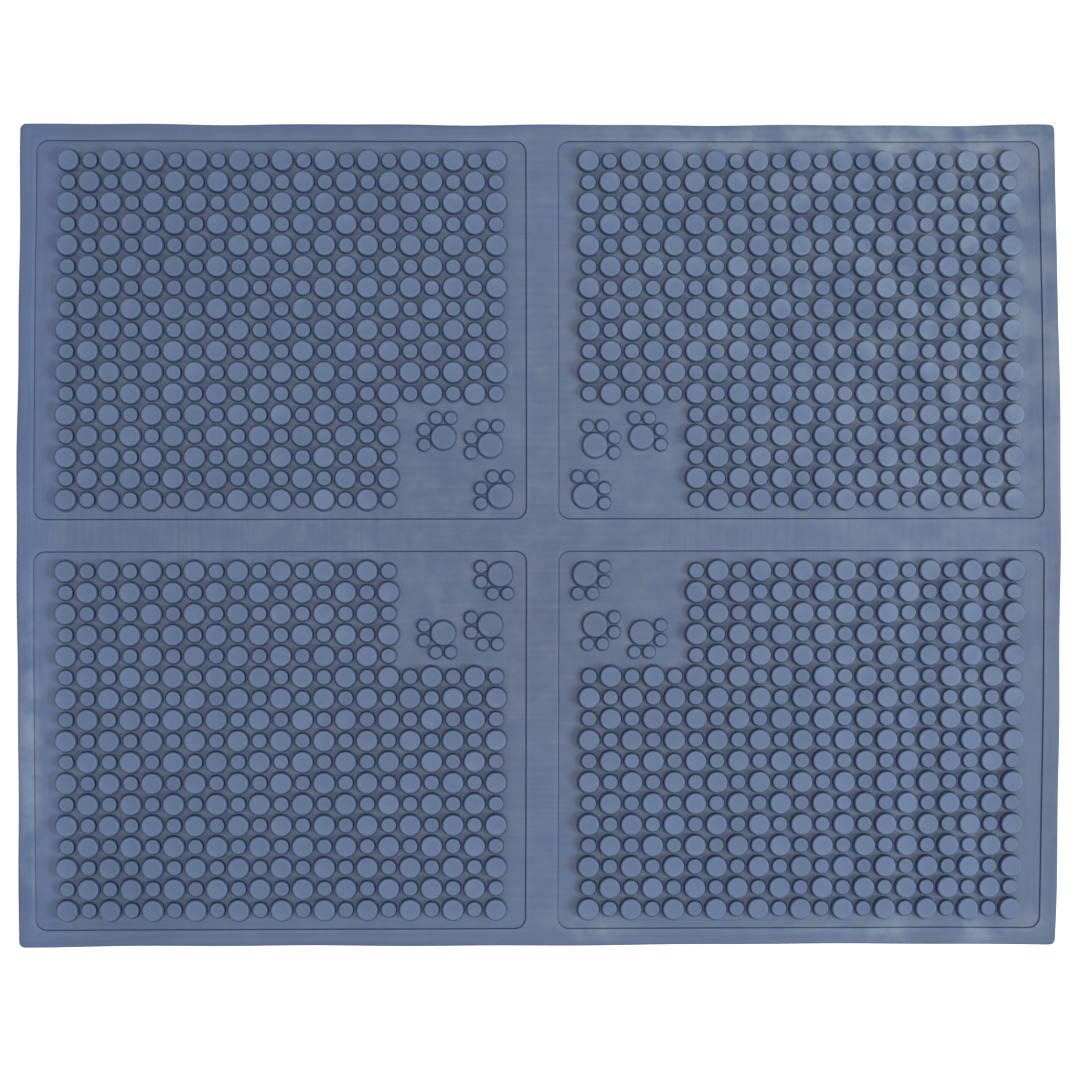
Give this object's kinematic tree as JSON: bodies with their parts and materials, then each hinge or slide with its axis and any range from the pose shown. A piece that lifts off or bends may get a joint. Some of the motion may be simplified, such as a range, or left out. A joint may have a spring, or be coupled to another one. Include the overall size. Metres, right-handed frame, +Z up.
{
  "type": "anti fatigue mat",
  "caption": "Flat rectangular studded rubber mat with a raised border and cross, four recessed panels of round studs, and small paw prints round its centre.",
  "frame": {"origin": "centre of the flat underside, on the surface the mat lies on", "axes": "+X along the long side, to the right with the mat seen from above; +Y towards the back edge; +Z up, out of the studded standing surface"},
  "size_m": [0.762, 0.6, 0.0095],
  "materials": {
    "sheet": "matte moulded rubber, blue-grey, finely mottled",
    "border": "matte moulded rubber, blue-grey, smooth, with a faint bloom",
    "studs": "matte moulded rubber, blue-grey, tops a little lighter from wear",
    "small_studs": "matte moulded rubber, blue-grey",
    "paws": "matte moulded rubber, blue-grey, smooth"
  },
  "bodies": {
    "root": {"base_sheet": "sheet", "border_left": "border", "border_right": "border", "border_front": "border", "border_back": "border", "cross_band": "border", "cross_arm_front": "border", "cross_arm_back": "border", "large_studs_back_left": "studs", "large_studs_back_right": "studs", "large_studs_front_left": "studs", "large_studs_front_right": "studs", "small_studs_back_left": "small_studs", "small_studs_back_right": "small_studs", "small_studs_front_left": "small_studs", "small_studs_front_right": "small_studs", "outer_paw_back_left": "paws", "outer_paw_back_right": "paws", "outer_paw_front_left": "paws", "outer_paw_front_right": "paws", "middle_paw_back_left": "paws", "middle_paw_back_right": "paws", "middle_paw_front_left": "paws", "middle_paw_front_right": "paws", "inner_paw_back_left": "paws", "inner_paw_back_right": "paws", "inner_paw_front_left": "paws", "inner_paw_front_right": "paws"}
  },
  "joints": []
}
